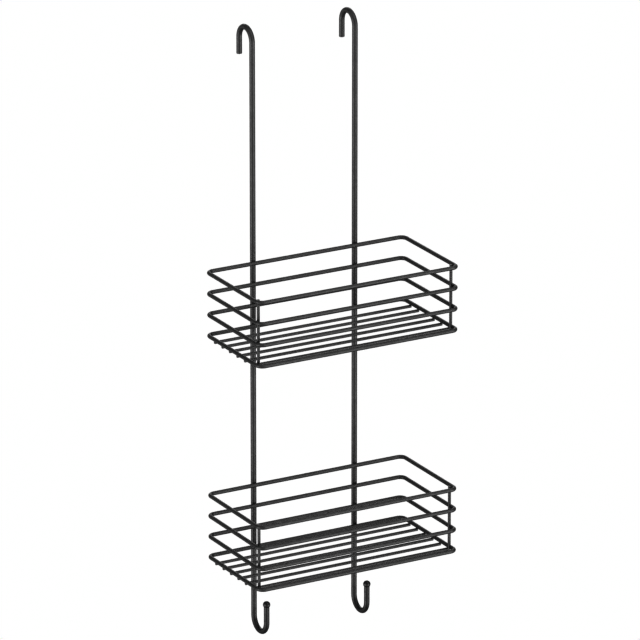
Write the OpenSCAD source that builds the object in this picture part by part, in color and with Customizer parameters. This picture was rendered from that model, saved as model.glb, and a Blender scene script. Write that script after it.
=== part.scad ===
// Hanging shower caddy of welded, powder-coated steel wire.
// Two rods hook over a shower screen, carry two baskets and end below in towel hooks with ball tips.
// Origin: the middle of the screen's top edge, where the two screen hooks rest.
// +X along the baskets, +Y to the far side of the screen, +Z up. Millimetres.

/* [Baskets] */
// Outer length of a basket, along X
basket_w = 250; // [200:5:320]
// Outer depth of a basket, along Y
basket_d = 123; // [90:1:150]
// Diameter of the wire that the rings are bent from
ring_wire = 4.3; // [3.5:0.1:5.5]
// Corner radius of a ring, to the wire's centre line
corner_r = 7; // [5:0.5:15]
// Number of rings in a basket
ring_count = 4; // [2:1:6]
// Height from one ring to the next, centre to centre
ring_pitch = 24.1; // [15:0.1:32]
// Height from the lower basket's bottom ring to the upper basket's
basket_pitch = 257.5; // [230:0.5:330]

/* [Floor wires and uprights] */
// Diameter of the wire of the floor and the uprights
thin_wire = 3.2; // [2.5:0.1:4]
// Number of wires in a basket's floor
floor_count = 6; // [3:1:8]
// Gap between a ring's corner bend and the upright just behind it
upright_clear = 0.6; // [0:0.1:5]
// How far an upright's ends pass the centres of the top and bottom rings
upright_past = 1; // [0:0.1:2]

/* [Hanger rods] */
// Diameter of the two rods
rod_wire = 6; // [5:0.1:8]
// Distance between the rods, centre to centre
rod_pitch = 127; // [90:1:170]
// Thickest screen that a screen hook goes over
screen_gap = 23; // [15:1:35]
// Straight tail of a screen hook, on the far side of the screen
tail_l = 19; // [10:1:40]
// Height from the upper basket's bottom ring to the start of the screen hook's bend
rod_above = 321; // [200:1:450]
// Height from the start of the towel hook's bend to the lower basket's bottom ring
rod_below = 82; // [50:0.5:120]
// Open width of a towel hook
towel_gap = 23; // [15:1:35]

/* [Ball tips] */
// Diameter of a ball tip
ball_d = 8; // [7.5:0.1:12]
// Height of a ball's centre above the middle of the towel hook's bend
ball_rise = 21.3; // [10:0.1:40]
// How far below the ball's centre the end of the rod is seated
ball_seat = 1.2; // [0.5:0.1:1.5]

/* [Welds] */
// How deep a rod is sunk into a ring's wire at their weld
rod_weld = 0.6; // [0:0.1:1]
// How deep a thin wire is sunk into a ring's wire at their weld
thin_weld = 0.2; // [0:0.1:0.6]

/* [Hidden] */
$fn = 48;
coat = [0.035, 0.035, 0.038];
tip_coat = [0.015, 0.015, 0.016];

SIDES = ["left", "right"];
BASKETS = ["lower", "upper"];

// bends of the two hooks, on the rod's centre line
screen_r = (screen_gap + rod_wire) / 2;
towel_r = (towel_gap + rod_wire) / 2;

// heights: the screen's top edge, which the crowns rest on, is at 0
screen_bend_z = -screen_gap / 2;
upper_z = screen_bend_z - rod_above;
lower_z = upper_z - basket_pitch;
towel_bend_z = lower_z - rod_below;
rod_end_z = towel_bend_z + ball_rise - ball_seat;

// depths: the screen's middle is at 0 and the rods hang in front of it
rod_y = -screen_r;
back_y = rod_y - rod_wire / 2 - ring_wire / 2 + rod_weld;
front_y = back_y - (basket_d - ring_wire);
tip_y = rod_y - 2 * towel_r;

// the ring's centre line
ring_l = basket_w - ring_wire;
ring_d = basket_d - ring_wire;
mid_y = (front_y + back_y) / 2;

// thin wires against the rings
touch = (ring_wire + thin_wire) / 2 - thin_weld;
upright_x = ring_l / 2 - touch;
upright_y = front_y + corner_r + upright_clear + thin_wire / 2;
floor_pitch = ring_d / (floor_count + 1);

// -1 on the left, 1 on the right
function side(s) = s == "left" ? -1 : 1;

// centre of a basket's bottom ring
function floor_z(b) = b == "upper" ? upper_z : lower_z;

// a straight wire from the origin up along +Z
module straight(d, l) {
    cylinder(d = d, h = l);
}

// a round bend in the XY plane, about the origin, from the +X axis
module bend(d, r, angle) {
    rotate_extrude(angle = angle)
        translate([r, 0])
            circle(d = d);
}

// a half-circle bend in the YZ plane, about the origin, with its crown up
module crown(d, r) {
    rotate([90, 0, 90])
        bend(d, r, 180);
}

// one rod: the tail, the screen hook, the long straight run and the towel hook, in one length of wire
module hanger_rod(s) {
    color(coat)
        translate([side(s) * rod_pitch / 2, 0, 0]) {
            translate([0, screen_r, screen_bend_z - tail_l])
                straight(rod_wire, tail_l);
            translate([0, 0, screen_bend_z])
                crown(rod_wire, screen_r);
            translate([0, rod_y, towel_bend_z])
                straight(rod_wire, screen_bend_z - towel_bend_z);
            translate([0, rod_y - towel_r, towel_bend_z])
                mirror([0, 0, 1])
                    crown(rod_wire, towel_r);
            translate([0, tip_y, towel_bend_z])
                straight(rod_wire, rod_end_z - towel_bend_z);
        }
}

// a steel ball, drilled from below to seat the end of the rod, and welded there
module hook_ball(s) {
    color(tip_coat)
        translate([side(s) * rod_pitch / 2, tip_y, rod_end_z + ball_seat])
            difference() {
                sphere(d = ball_d);
                translate([0, 0, -ball_d])
                    straight(rod_wire, ball_d - ball_seat);
            }
}

// a closed rounded rectangle of wire; ring 1 is the bottom one
module ring(b, k) {
    leg_x = ring_l / 2 - corner_r;
    leg_y = ring_d / 2 - corner_r;
    color(coat)
        translate([0, mid_y, floor_z(b) + (k - 1) * ring_pitch])
            for (half = [0, 180])
                rotate([0, 0, half]) {
                    translate([-leg_x, ring_d / 2, 0])
                        rotate([0, 90, 0])
                            straight(ring_wire, 2 * leg_x);
                    translate([ring_l / 2, leg_y, 0])
                        rotate([90, 0, 0])
                            straight(ring_wire, 2 * leg_y);
                    translate([leg_x, leg_y, 0])
                        bend(ring_wire, corner_r, 90);
                    translate([-leg_x, leg_y, 0])
                        rotate([0, 0, 90])
                            bend(ring_wire, corner_r, 90);
                }
}

// a short wire inside a front corner, welded to the side of each ring
module upright(b, s) {
    color(coat)
        translate([side(s) * upright_x, upright_y, floor_z(b) - upright_past])
            straight(thin_wire, (ring_count - 1) * ring_pitch + 2 * upright_past);
}

// a wire under the bottom ring, cut off at the middle of the ring's side wires; wire 1 is in front
module floor_wire(b, k) {
    color(coat)
        translate([-ring_l / 2, front_y + k * floor_pitch, floor_z(b) - touch])
            rotate([0, 90, 0])
                straight(thin_wire, ring_l);
}

for (s = SIDES) {
    hanger_rod(s);
    hook_ball(s);
}
for (b = BASKETS) {
    for (k = [1:ring_count])
        ring(b, k);
    for (s = SIDES)
        upright(b, s);
    for (k = [1:floor_count])
        floor_wire(b, k);
}
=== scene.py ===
"""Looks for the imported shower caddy: coated wires, welds, ball tips, a pale studio and the camera."""

import math
import random

import bpy
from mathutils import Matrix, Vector


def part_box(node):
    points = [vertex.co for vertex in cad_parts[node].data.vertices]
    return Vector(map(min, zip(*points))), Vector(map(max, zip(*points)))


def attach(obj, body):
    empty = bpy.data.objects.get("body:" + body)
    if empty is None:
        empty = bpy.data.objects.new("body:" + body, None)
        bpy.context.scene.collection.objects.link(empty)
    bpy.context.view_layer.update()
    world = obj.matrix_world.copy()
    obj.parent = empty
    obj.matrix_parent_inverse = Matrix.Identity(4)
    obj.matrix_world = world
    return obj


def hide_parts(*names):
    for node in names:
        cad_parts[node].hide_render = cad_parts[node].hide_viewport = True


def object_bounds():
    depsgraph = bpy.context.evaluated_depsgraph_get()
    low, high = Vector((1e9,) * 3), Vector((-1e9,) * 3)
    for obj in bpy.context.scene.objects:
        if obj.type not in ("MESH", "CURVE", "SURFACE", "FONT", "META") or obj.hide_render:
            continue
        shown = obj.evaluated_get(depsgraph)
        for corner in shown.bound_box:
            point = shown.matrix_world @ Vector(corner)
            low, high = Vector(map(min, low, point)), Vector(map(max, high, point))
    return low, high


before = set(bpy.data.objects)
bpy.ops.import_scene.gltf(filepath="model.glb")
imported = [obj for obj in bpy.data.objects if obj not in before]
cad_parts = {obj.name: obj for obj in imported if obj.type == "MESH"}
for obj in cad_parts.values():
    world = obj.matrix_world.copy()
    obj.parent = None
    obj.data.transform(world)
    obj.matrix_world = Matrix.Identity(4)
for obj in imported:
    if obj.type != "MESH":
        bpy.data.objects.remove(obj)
cad_low, cad_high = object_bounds()

MM = 0.001
X, Y, Z = Vector((1, 0, 0)), Vector((0, 1, 0)), Vector((0, 0, 1))

SIDES = ("left", "right")
BASKETS = ("lower", "upper")
RINGS = range(1, 5)
FLOOR_WIRES = range(1, 7)

# Sizes that a node's box doesn't give
TAIL = 19 * MM                          # straight tail of a screen hook
CORNER_R = 7 * MM                       # corner of a ring, on its centre line
BALL_SEAT = 1.2 * MM                    # the rod's end below the ball's centre

# How finely a wire is meshed
STATION = 20 * MM                       # longest step along a straight run
ROUND_ROD, ROUND_RING, ROUND_THIN = 40, 32, 28          # points round a wire
BEND_STEPS, CORNER_STEPS, EDGE_STEPS = 36, 12, 5        # along a hook's bend, a ring's corner and a cut edge

# Finish of the wires
CUT_EDGE = 0.3 * MM                     # the coating rounds a cut end by this much
FACE_INSET, FACE_WEAR = 0.55, 0.4       # a ring in a cut end's face: its inset in radii, and its wear
HOOK_SHADE_START, HOOK_SHADE_FULL = 12 * MM, 8 * MM   # above its bend, where the painted shade on a towel hook starts and is full
BUTT_HALF, BUTT_SWELL = 5 * MM, 0.05 * MM       # half the length and the height of a ring's butt weld
BUTT_STEPS = 10

# The ball tips' meshes
NECK = 1 * MM                           # radius of the hollow where a ball meets its rod
NECK_TUCK, NECK_SHY = 0.4 * MM, 0.97    # the mesh ends this far down in the rod, at this share of its radius
NECK_PROUD = 0.01 * MM                  # how far the neck's foot stands off the rod
NECK_STEPS, BALL_STEPS = 8, 20


# ---------------------------------------------------------------- node trees

def add(tree, kind, **settings):
    """A node of that kind; settings that name an input set its value, and the others set the node itself."""
    node = tree.nodes.new(kind)
    for name, value in settings.items():
        label = name.replace("_", " ").title()
        if label in node.inputs:
            node.inputs[label].default_value = value
        else:
            setattr(node, name, value)
    return node


def plug(tree, value, socket):
    """Gives an input its value, which is another node's output or a plain value."""
    if isinstance(value, bpy.types.NodeSocket):
        tree.links.new(value, socket)
    else:
        socket.default_value = value


def combine(tree, operation, first, second):
    """The result of one Math operation on first and second."""
    node = add(tree, "ShaderNodeMath", operation=operation)
    plug(tree, first, node.inputs[0])
    plug(tree, second, node.inputs[1])
    return node.outputs["Value"]


def blend(tree, first, second, factor, **settings):
    """The colour first, turned towards the colour second by factor."""
    node = add(tree, "ShaderNodeMix", data_type="RGBA", **settings)
    plug(tree, first, node.inputs["A"])
    plug(tree, second, node.inputs["B"])
    plug(tree, factor, node.inputs["Factor"])
    return node.outputs["Result"]


def noise(tree, place, size, detail=2.0):
    """Noise whose features are about size metres across."""
    node = add(tree, "ShaderNodeTexNoise", scale=1 / size, detail=detail)
    plug(tree, place.outputs["Object"], node.inputs["Vector"])
    return node.outputs["Fac"]


def spread(tree, value, low, high, start=0.3, end=0.7):
    """value from start to end, moved to the range from low to high."""
    node = add(tree, "ShaderNodeMapRange", from_min=start, from_max=end, to_min=low, to_max=high)
    plug(tree, value, node.inputs["Value"])
    return node.outputs["Result"]


def relief(tree, height, depth):
    """A bump of that depth, whose normal may be built on another's."""
    node = add(tree, "ShaderNodeBump", strength=1, distance=depth)
    plug(tree, height, node.inputs["Height"])
    return node


def share(tree, name):
    """A mesh's own value at each point."""
    return add(tree, "ShaderNodeAttribute", attribute_name=name).outputs["Fac"]


def grey(level):
    return level, level, level, 1


def seen_or_lit(tree, lit):
    """White where the camera sees the studio, and the brightness lit for the light that it gives."""
    node = add(tree, "ShaderNodeMapRange", to_max=1)
    plug(tree, add(tree, "ShaderNodeLightPath").outputs["Is Camera Ray"], node.inputs["Value"])
    plug(tree, lit, node.inputs["To Min"])
    return node.outputs["Result"]


# ---------------------------------------------------------------- materials

CLOUD, PATCH = 18 * MM, 6 * MM          # size of the changes of tone and of roughness
PEEL, SPECK, GRAIN = 0.9 * MM, 0.35 * MM, 0.2 * MM      # size of the orange peel, the specks and the grain
GRAIN_DEPTH = 0.12                      # depth of the grain beside the orange peel's
UNEVEN = 0.05                           # change of roughness, either way
HOOK_SHADE_TONE = 0.4                          # painted shade on a towel hook: its colour beside the rest of its rod's
WORN_TONE = 1.6                         # colour of the thin paint on a cut edge beside the coat's light tone


def powder_coat(name, dark, light, roughness, peel):
    """Satin powder coat from a dark to a light grey, with an orange peel as deep as peel."""
    material = bpy.data.materials.new(name)
    material.use_nodes = True
    tree = material.node_tree
    shader = tree.nodes["Principled BSDF"]
    shader.inputs["IOR"].default_value = 1.5
    place = add(tree, "ShaderNodeTexCoord")

    clouds = spread(tree, noise(tree, place, CLOUD, detail=3), low=0.2, high=1.0)
    specks = noise(tree, place, SPECK, detail=1)
    fine = spread(tree, specks, low=0.5, high=1.0, start=0.35, end=0.65)
    tone = combine(tree, "MULTIPLY", clouds, fine)
    coat = blend(tree, grey(dark), grey(light), tone)
    # Painted shade: the towel hook's bend, its stem and the rod just above are darkened in the base colour.
    painted_hook_shade = blend(tree, coat, grey(HOOK_SHADE_TONE), share(tree, "painted_hook_shade"), blend_type="MULTIPLY")
    wear = combine(tree, "MULTIPLY", share(tree, "cut_edge"), spread(tree, specks, low=0.2, high=0.9))
    plug(tree, blend(tree, painted_hook_shade, grey(WORN_TONE * light), wear), shader.inputs["Base Color"])

    patches = noise(tree, place, PATCH)
    plug(tree, spread(tree, patches, roughness - UNEVEN, roughness + UNEVEN), shader.inputs["Roughness"])

    orange_peel = relief(tree, noise(tree, place, PEEL, detail=1), peel)
    grain = relief(tree, noise(tree, place, GRAIN), GRAIN_DEPTH * peel)
    plug(tree, orange_peel.outputs["Normal"], grain.inputs["Normal"])
    plug(tree, grain.outputs["Normal"], shader.inputs["Normal"])
    return material


WIRE_COAT = powder_coat("wire_coat", dark=0.024, light=0.034, roughness=0.46, peel=0.08 * MM)
BALL_COAT = powder_coat("ball_coat", dark=0.012, light=0.017, roughness=0.38, peel=0.06 * MM)


# ---------------------------------------------------------------- meshes

SHARES = ("cut_edge", "painted_hook_shade")         # a point's shares, each from 0 to 1, in this order


def piece(name, points, faces, material, shares=(), stands_for=()):
    """A smooth mesh that rides on the caddy's one body. Without shares, all of its points have none."""
    mesh = bpy.data.meshes.new(name)
    mesh.from_pydata([tuple(p) for p in points], [], faces)
    mesh.polygons.foreach_set("use_smooth", [True] * len(mesh.polygons))
    mesh.materials.append(material)
    for label, values in zip(SHARES, zip(*(shares or [(0.0, 0.0)] * len(points)))):
        mesh.attributes.new(label, "FLOAT", "POINT").data.foreach_set("value", values)
    mesh.update()
    obj = bpy.data.objects.new(name, mesh)
    bpy.context.scene.collection.objects.link(obj)
    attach(obj, "root")
    if stands_for:
        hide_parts(*stands_for)


def spoke(angle, u, v):
    """The unit vector at that angle in degrees, from u towards v."""
    a = math.radians(angle)
    return math.cos(a) * u + math.sin(a) * v


class Wire:
    """A round wire swept along a path that lies in one plane."""

    def __init__(self, normal, radius, around):
        self.normal, self.radius, self.around = normal, radius, around
        self.painted_hook_shade = 0.0       # painted shade on the towel hook, from here on, until it is changed
        self.stations = []      # (centre, direction, radius, shares)

    def station(self, centre, direction, radius=None, edge=0.0):
        self.stations.append((centre, direction.normalized(), radius or self.radius, (edge, self.painted_hook_shade)))

    def straight(self, start, end):
        """Even steps from start to end, both left out."""
        steps = max(1, math.ceil((end - start).length / STATION))
        for k in range(1, steps):
            self.station(start.lerp(end, k / steps), end - start)

    def straight_to(self, end):
        self.straight(self.stations[-1][0], end)

    def turn(self, centre, r, first, last, steps, u, v):
        """A round bend about centre, from the angle first to last in the plane of u and v, in degrees."""
        way = 1 if last > first else -1
        for k in range(steps + 1):
            angle = first + (last - first) * k / steps
            self.station(centre + r * spoke(angle, u, v), way * spoke(angle + 90, u, v))

    def cut(self, end, direction, opening):
        """A sheared end, its edge rounded by the coating. opening is True where the path begins."""
        arc = [math.radians(90 * k / EDGE_STEPS) for k in range(EDGE_STEPS + 1)]
        rim = [(CUT_EDGE * (math.sin(a) - 1), CUT_EDGE * (math.cos(a) - 1), math.sin(a)) for a in arc]
        rim.append((0, -self.radius * FACE_INSET, FACE_WEAR))
        outward = -direction if opening else direction
        for along, thinner, edge in reversed(rim) if opening else rim:
            self.station(end + outward * along, direction, self.radius + thinner, edge)

    def mesh(self, closed=False):
        """Points, faces and the points' shares."""
        points, shares = [], []
        for centre, direction, radius, both in self.stations:
            side = self.normal.cross(direction)
            for j in range(self.around):
                points.append(centre + radius * spoke(360 * j / self.around, side, self.normal))
                shares.append(both)
        count = len(self.stations)
        faces = []
        for i in range(count if closed else count - 1):
            here, there = i * self.around, (i + 1) % count * self.around
            for j in range(self.around):
                k = (j + 1) % self.around
                faces.append((here + j, here + k, there + k, there + j))
        if not closed:
            last = (count - 1) * self.around
            faces.append(tuple(range(self.around))[::-1])
            faces.append(tuple(range(last, last + self.around)))
        return points, faces, shares

    def piece(self, name, node, closed=False):
        """The finished wire, in place of a CAD node."""
        points, faces, shares = self.mesh(closed)
        piece(name, points, faces, WIRE_COAT, shares, [node])


def lathe(centre, profile, around):
    """A closed turned solid about the vertical through centre, from (radius, height) pairs, lowest first."""
    points = [centre + Z * profile[0][1]]
    for r, h in profile[1:-1]:
        points += [centre + r * spoke(360 * j / around, X, Y) + Z * h for j in range(around)]
    points.append(centre + Z * profile[-1][1])
    faces, rows, top = [], len(profile) - 2, len(points) - 1
    for j in range(around):
        k = (j + 1) % around
        faces.append((0, 1 + k, 1 + j))
        for i in range(rows - 1):
            low, high = 1 + i * around, 1 + (i + 1) * around
            faces.append((low + j, low + k, high + k, high + j))
        last = 1 + (rows - 1) * around
        faces.append((last + j, last + k, top))
    return points, faces


# ---------------------------------------------------------------- the wires

def middle(node):
    low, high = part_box(node)
    return (low + high) / 2


def size(node):
    low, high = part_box(node)
    return high - low


def hanger_rod(side):
    """Tail, screen hook, long run and towel hook, in one length of wire."""
    node = f"hanger_rod_{side}"
    low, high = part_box(node)
    x, r = middle(node).x, size(node).x / 2
    screen_r = high.y - r                       # the screen's middle is at Y = 0
    rod_y = -screen_r
    towel_r = (rod_y - (low.y + r)) / 2
    screen_centre = Vector((x, 0, high.z - r - screen_r))
    towel_centre = Vector((x, rod_y - towel_r, low.z + r + towel_r))
    bend = towel_centre + Y * towel_r           # where the towel hook's bend starts
    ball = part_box(f"hook_ball_{side}")[1].z - size(f"hook_ball_{side}").x / 2

    wire = Wire(X, r, ROUND_ROD)
    wire.cut(screen_centre + Y * screen_r - Z * TAIL, Z, opening=True)
    wire.turn(screen_centre, screen_r, 0, 180, BEND_STEPS, Y, Z)
    wire.straight_to(bend + Z * HOOK_SHADE_START)
    # The painted shade of the towel hook fades in above its bend and stays on to the cut end by the ball.
    wire.station(bend + Z * HOOK_SHADE_START, -Z)
    wire.painted_hook_shade = 1.0
    wire.station(bend + Z * HOOK_SHADE_FULL, -Z)
    wire.turn(towel_centre, towel_r, 0, -180, BEND_STEPS, Y, Z)
    wire.cut(Vector((x, low.y + r, ball - BALL_SEAT)), Z, opening=False)
    wire.piece(f"rod_{side}", node)


def ball_tip(side):
    """A ball with a short neck of coating and weld down onto the rod."""
    node = f"hook_ball_{side}"
    big, rod = size(node).x / 2, size(f"hanger_rod_{side}").x / 2
    centre = middle(node)
    centre.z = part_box(node)[1].z - big
    foot = -math.sqrt((big + NECK) ** 2 - (rod + NECK) ** 2)
    meet = math.atan2(foot, rod + NECK)         # where the neck meets the ball, seen from its centre
    profile = [(0, foot - NECK_TUCK), (rod * NECK_SHY, foot - NECK_TUCK), (rod + NECK_PROUD, foot)]
    for k in range(1, NECK_STEPS):
        a = math.pi + meet * k / NECK_STEPS
        profile.append((rod + NECK + NECK * math.cos(a), foot + NECK * math.sin(a)))
    for k in range(BALL_STEPS):
        a = meet + (math.pi / 2 - meet) * k / BALL_STEPS
        profile.append((big * math.cos(a), big * math.sin(a)))
    profile.append((0, big))
    points, faces = lathe(centre, profile, ROUND_ROD)
    piece(f"ball_{side}", points, faces, BALL_COAT, stands_for=[node])


def ring(basket, k):
    """A rounded rectangle, bent from one length and butt-welded in the middle of its back."""
    node = f"{basket}_ring_{k}"
    r = size(node).z / 2
    centre = middle(node)
    half_x, half_y = size(node).x / 2 - r, size(node).y / 2 - r
    back = centre + Y * half_y
    wire = Wire(Z, r, ROUND_RING)
    for i in range(BUTT_STEPS + 1):
        t = 2 * i / BUTT_STEPS - 1
        wire.station(back - X * (t * BUTT_HALF), -X, r + BUTT_SWELL * (1 - t * t) ** 2)
    for sx, sy, first in ((-1, 1, 90), (-1, -1, 180), (1, -1, 270), (1, 1, 0)):
        hub = centre + X * (sx * (half_x - CORNER_R)) + Y * (sy * (half_y - CORNER_R))
        wire.straight_to(hub + CORNER_R * spoke(first, X, Y))
        wire.turn(hub, CORNER_R, first, first + 90, CORNER_STEPS, X, Y)
    wire.straight_to(wire.stations[0][0])
    wire.piece(f"{basket}_hoop_{k}", node, closed=True)


def bar(node, name, along, normal):
    """A straight thin wire, sheared at both ends."""
    centre = middle(node)
    reach = along * (size(node).dot(along) / 2)
    inset = along * (2 * CUT_EDGE)
    start, end = centre - reach, centre + reach
    wire = Wire(normal, size(node).dot(normal) / 2, ROUND_THIN)
    wire.cut(start, along, opening=True)
    wire.straight(start + inset, end - inset)
    wire.cut(end, along, opening=False)
    wire.piece(name, node)


# ---------------------------------------------------------------- the welds

ROD_GAP, UPRIGHT_GAP, FLOOR_GAP = 1.5 * MM, 1.1 * MM, 1 * MM    # the widest gap that a weld fills
WELD_AROUND, WELD_LIP, WELD_SIDE = 36, 4, 9     # steps round a weld, in from each rim and across its side
WELD_BACK = 0.9 * MM                    # a weld by a wire's end is centred this far back from the end
WELD_LIMIT = 0.98                       # a weld stays inside this share of both wires' breadth
WELD_HOLLOW = 0.74                      # its side is pulled in towards this share of the way out to its rim
WELD_SINK, RIM_SINK = 0.12 * MM, 0.02 * MM      # how deep its hidden faces and its rims lie in the wires
NEAR_END = 3 * MM                       # a crossing is by a wire's end when it is nearer to it than this
WELD_SCATTER = (0.9, 1.15)              # least and most of the widest gap that one weld fills
WELD_WAVES = ((2, 0.08), (3, 0.05))     # waves round a weld's rim: how many, and their height beside the gap
HALVINGS = 24                           # steps of the search for a weld's rim
TINY = 1e-6


def bezier(corners, t):
    """The point at t on the cubic curve with those four control points."""
    weights = ((1 - t) ** 3, 3 * t * (1 - t) ** 2, 3 * t * t * (1 - t), t ** 3)
    return tuple(sum(w * corner[n] for w, corner in zip(weights, corners)) for n in range(3))


class Gap:
    """The gap between two wires that cross. p runs along wire a, q along wire b, and heights from b to a."""

    def __init__(self, a_r, b_r, overlap):
        self.a_r, self.b_r = a_r, b_r
        self.a_height, self.b_depth = a_r - overlap / 2, b_r - overlap / 2

    def under_a(self, q):
        return self.a_height - math.sqrt(max(self.a_r ** 2 - q * q, 0))

    def over_b(self, p):
        return math.sqrt(max(self.b_r ** 2 - p * p, 0)) - self.b_depth

    def reach(self, start, end, c, s, width):
        """How far from start, in the direction with the cosine c and the sine s, the gap is under width."""
        ahead = start if c > 0 else -start
        most = WELD_LIMIT * min(self.a_r / max(abs(s), TINY), (self.b_r - ahead) / max(abs(c), TINY))
        if end is not None and c > 0:
            most = min(most, (end - start) / c)
        near, far = 0.0, most
        for _ in range(HALVINGS):
            half = (near + far) / 2
            narrow = self.under_a(half * s) - self.over_b(start + half * c) < width
            near, far = (half, far) if narrow else (near, half)
        return near

    def section(self, start, dp, dq):
        """A cut through one side of a weld, as (p, q, height) from inside wire a, out to its rim, down its
        side and back inside wire b. dp and dq lead from start to the rim."""

        def on_a(out, sink):
            return start + out * dp, out * dq, self.under_a(out * dq) + sink

        def on_b(out, sink):
            return start + out * dp, out * dq, self.over_b(start + out * dp) - sink

        inner = [k / WELD_LIP for k in range(1, WELD_LIP)]
        side = (on_a(1, RIM_SINK), on_a(WELD_HOLLOW, 0), on_b(WELD_HOLLOW, 0), on_b(1, RIM_SINK))
        points = [on_a(out, WELD_SINK) for out in inner]
        points += [bezier(side, k / WELD_SIDE) for k in range(WELD_SIDE + 1)]
        return points + [on_b(out, WELD_SINK) for out in reversed(inner)]


class Welds:
    """Small fillets of weld and coating where two wires cross, gathered into one mesh."""

    def __init__(self, seed):
        self.points, self.faces = [], []
        self.random = random.Random(seed)

    def cross(self, a, a_axis, a_r, b, b_axis, b_r, width, end=None):
        """Fills the gap round the place where wire a crosses wire b, as far as it is narrower than width.
        a and b are points on their axes, on the line that joins them. end, if given, is how far past that
        line the fillet may run along wire a."""
        up = (a - b).normalized()
        overlap = a_r + b_r - (a - b).length
        touch = b + up * (b_r - overlap / 2)
        gap = Gap(a_r, b_r, overlap)
        start = 0.0 if end is None else min(0.0, end - WELD_BACK)
        width *= self.random.uniform(*WELD_SCATTER)
        phases = [self.random.uniform(0, 2 * math.pi) for _ in WELD_WAVES]

        base = len(self.points)
        for j in range(WELD_AROUND):
            angle = 2 * math.pi * j / WELD_AROUND
            c, s = math.cos(angle), math.sin(angle)
            waves = sum(high * math.sin(n * angle + phase) for (n, high), phase in zip(WELD_WAVES, phases))
            rho = gap.reach(start, end, c, s, width * (1 + waves))
            row = gap.section(start, rho * c, rho * s)
            self.points += [touch + a_axis * p + b_axis * q + up * height for p, q, height in row]
        top, bottom, per = len(self.points), len(self.points) + 1, len(row)
        self.points.append(touch + a_axis * start + up * (gap.under_a(0) + WELD_SINK))
        self.points.append(touch + a_axis * start + up * (gap.over_b(start) - WELD_SINK))
        flip = a_axis.cross(b_axis).dot(up) < 0
        for j in range(WELD_AROUND):
            here, there = base + j * per, base + (j + 1) % WELD_AROUND * per
            made = [(top, here, there)]
            made += [(here + k, here + k + 1, there + k + 1, there + k) for k in range(per - 1)]
            made.append((bottom, there + per - 1, here + per - 1))
            self.faces += [face[::-1] for face in made] if flip else made

    def piece(self, name):
        piece(name, self.points, self.faces, WIRE_COAT)


def rod_welds(basket, seed):
    """Each rod against the backs of the rings."""
    welds = Welds(seed)
    for side in SIDES:
        rod = f"hanger_rod_{side}"
        rod_r = size(rod).x / 2
        rod_y = -(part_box(rod)[1].y - rod_r)
        for k in RINGS:
            node = f"{basket}_ring_{k}"
            wire_r = size(node).z / 2
            on_rod = Vector((middle(rod).x, rod_y, middle(node).z))
            on_ring = Vector((middle(rod).x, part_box(node)[1].y - wire_r, middle(node).z))
            welds.cross(on_rod, Z, rod_r, on_ring, X, wire_r, ROD_GAP)
    welds.piece(f"{basket}_rod_welds")


def side_wire(node, sign):
    """X of a ring's side wire on the left (-1) or the right (1), and the wire's radius."""
    wire_r = size(node).z / 2
    return middle(node).x + sign * (size(node).x / 2 - wire_r), wire_r


def upright_welds(basket, seed):
    """Each upright against the side wires of the rings."""
    welds = Welds(seed)
    for side, sign in zip(SIDES, (-1, 1)):
        post = f"{basket}_upright_{side}"
        for k in RINGS:
            node = f"{basket}_ring_{k}"
            x, wire_r = side_wire(node, sign)
            on_post = Vector((middle(post).x, middle(post).y, middle(node).z))
            on_ring = Vector((x, middle(post).y, middle(node).z))
            low, high = (corner.z - middle(node).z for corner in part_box(post))
            along, past = (Z, high) if high < -low else (-Z, -low)
            end = past - CUT_EDGE if past < NEAR_END else None
            welds.cross(on_post, along, size(post).x / 2, on_ring, Y, wire_r, UPRIGHT_GAP, end)
    welds.piece(f"{basket}_upright_welds")


def floor_welds(basket, seed):
    """The ends of the floor wires under the side wires of the bottom ring."""
    welds = Welds(seed)
    node = f"{basket}_ring_1"
    for k in FLOOR_WIRES:
        wire = f"{basket}_floor_wire_{k}"
        for sign in (-1, 1):
            x, wire_r = side_wire(node, sign)
            end = size(wire).x / 2 - abs(x) - CUT_EDGE
            on_floor = Vector((x, middle(wire).y, middle(wire).z))
            on_ring = Vector((x, middle(wire).y, middle(node).z))
            welds.cross(on_floor, sign * X, size(wire).z / 2, on_ring, Y, wire_r, FLOOR_GAP, end)
    welds.piece(f"{basket}_floor_welds")


for side in SIDES:
    hanger_rod(side)
    ball_tip(side)
for number, basket in enumerate(BASKETS):
    for k in RINGS:
        ring(basket, k)
    for side in SIDES:
        bar(f"{basket}_upright_{side}", f"{basket}_post_{side}", Z, X)
    for k in FLOOR_WIRES:
        bar(f"{basket}_floor_wire_{k}", f"{basket}_bar_{k}", X, Z)
    rod_welds(basket, seed=10 + number)
    upright_welds(basket, seed=20 + number)
    floor_welds(basket, seed=30 + number)


# ---------------------------------------------------------------- the studio

CAMERA_AZIMUTH, CAMERA_ELEVATION = -29.2, 19.4  # degrees; 0 looks along +Y
CAMERA_DISTANCE, CAMERA_LENS = 7.465, 385.4     # metres, millimetres
AIM_RIGHT, AIM_UP = -0.0052, 0.0173             # metres from the middle of the object's box

FLOOR_RADIUS, FLOOR_DROP = 1.3, 1.3             # metres; the drop is from the hanging caddy to the floor
FLOOR_SIDES, FLOOR_GREY = 96, 0.3

# The dome's soft lights: name, azimuth and elevation in degrees, and brightness, where the room's white is 1
GLOWS = (
    ("left_low", -90, -15, 11.3),
    ("left_high", -90, 55, 2.9),
    ("front_low", -30, -15, 1.7),
    ("front_right_low", 30, -15, 10.4),
    ("front_right_high", 30, 55, 7.2),
    ("back_left_low", -150, -15, 0.5),
    ("back_low", 180, -15, 0.5),
    ("back_right", 150, 20, 2.9),
)
GLOW_FOCUS = 10                                 # a glow is a cosine to this power: half at 21 degrees off
AMBIENT = 0.22                                  # the dome's brightness between the glows


def toward(azimuth, elevation):
    """The direction from the object to a place at that azimuth and elevation, in degrees."""
    a, e = math.radians(azimuth), math.radians(elevation)
    return Vector((math.sin(a) * math.cos(e), -math.cos(a) * math.cos(e), math.sin(e)))


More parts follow.
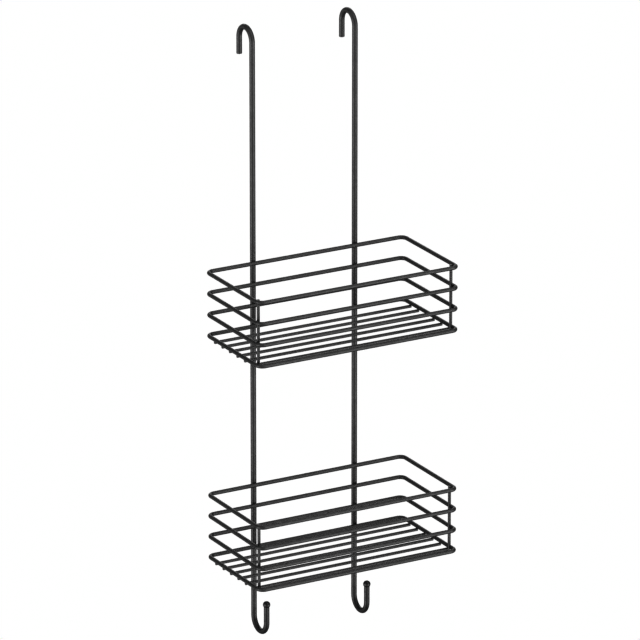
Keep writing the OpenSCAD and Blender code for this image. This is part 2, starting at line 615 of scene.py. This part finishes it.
def camera():
    data = bpy.data.cameras.new("camera")
    data.lens, data.sensor_width = CAMERA_LENS, 36
    data.clip_start, data.clip_end = 0.1, 60
    obj = bpy.data.objects.new("camera", data)
    bpy.context.scene.collection.objects.link(obj)
    back = toward(CAMERA_AZIMUTH, CAMERA_ELEVATION)
    right = toward(CAMERA_AZIMUTH + 90, 0)
    aim = (cad_low + cad_high) / 2 + right * AIM_RIGHT + back.cross(right) * AIM_UP
    obj.location = aim + back * CAMERA_DISTANCE
    obj.rotation_mode = "QUATERNION"
    obj.rotation_quaternion = (-back).to_track_quat("-Z", "Y")
    bpy.context.scene.camera = obj


def floor():
    """A round pale floor, well under the hanging caddy. It gives no light, so it isn't sampled as a lamp."""
    material = bpy.data.materials.new("studio_white")
    material.use_nodes = True
    material.cycles.emission_sampling = "NONE"
    tree = material.node_tree
    shader = tree.nodes["Principled BSDF"]
    shader.inputs["Base Color"].default_value = grey(FLOOR_GREY)
    shader.inputs["Specular IOR Level"].default_value = 0
    shader.inputs["Emission Color"].default_value = grey(1)
    plug(tree, seen_or_lit(tree, 0), shader.inputs["Emission Strength"])

    rim = [spoke(360 * k / FLOOR_SIDES, X, Y) * FLOOR_RADIUS for k in range(FLOOR_SIDES)]
    mesh = bpy.data.meshes.new("floor")
    mesh.from_pydata([(p.x, p.y, cad_low.z - FLOOR_DROP) for p in rim], [], [tuple(range(FLOOR_SIDES))])
    mesh.materials.append(material)
    obj = bpy.data.objects.new("floor", mesh)
    bpy.context.scene.collection.objects.link(obj)


def light_dome():
    """A room that is seen as white, and lights the object with wide soft glows instead of lamps."""
    world = bpy.data.worlds.new("studio")
    world.use_nodes = True
    bpy.context.scene.world = world
    tree = world.node_tree
    background = tree.nodes["Background"]
    background.inputs["Color"].default_value = grey(1)
    way = add(tree, "ShaderNodeTexCoord").outputs["Generated"]
    total = AMBIENT
    for name, azimuth, elevation, brightness in GLOWS:
        facing = add(tree, "ShaderNodeVectorMath", operation="DOT_PRODUCT", label=name)
        plug(tree, way, facing.inputs[0])
        plug(tree, toward(azimuth, elevation), facing.inputs[1])
        ahead = combine(tree, "MAXIMUM", facing.outputs["Value"], 0)
        focused = combine(tree, "POWER", ahead, GLOW_FOCUS)
        total = combine(tree, "ADD", combine(tree, "MULTIPLY", focused, brightness), total)
    plug(tree, seen_or_lit(tree, total), background.inputs["Strength"])


camera()
floor()
light_dome()

# A wire is two to six pixels wide in the picture, and its edge pixels mix its colour with the white behind.
# With the usual gamma of 1 the mix comes out too light, and wires look thin. The coats are coloured for 0.5.
bpy.context.scene.view_settings.view_transform = "Standard"
bpy.context.scene.view_settings.gamma = 0.5
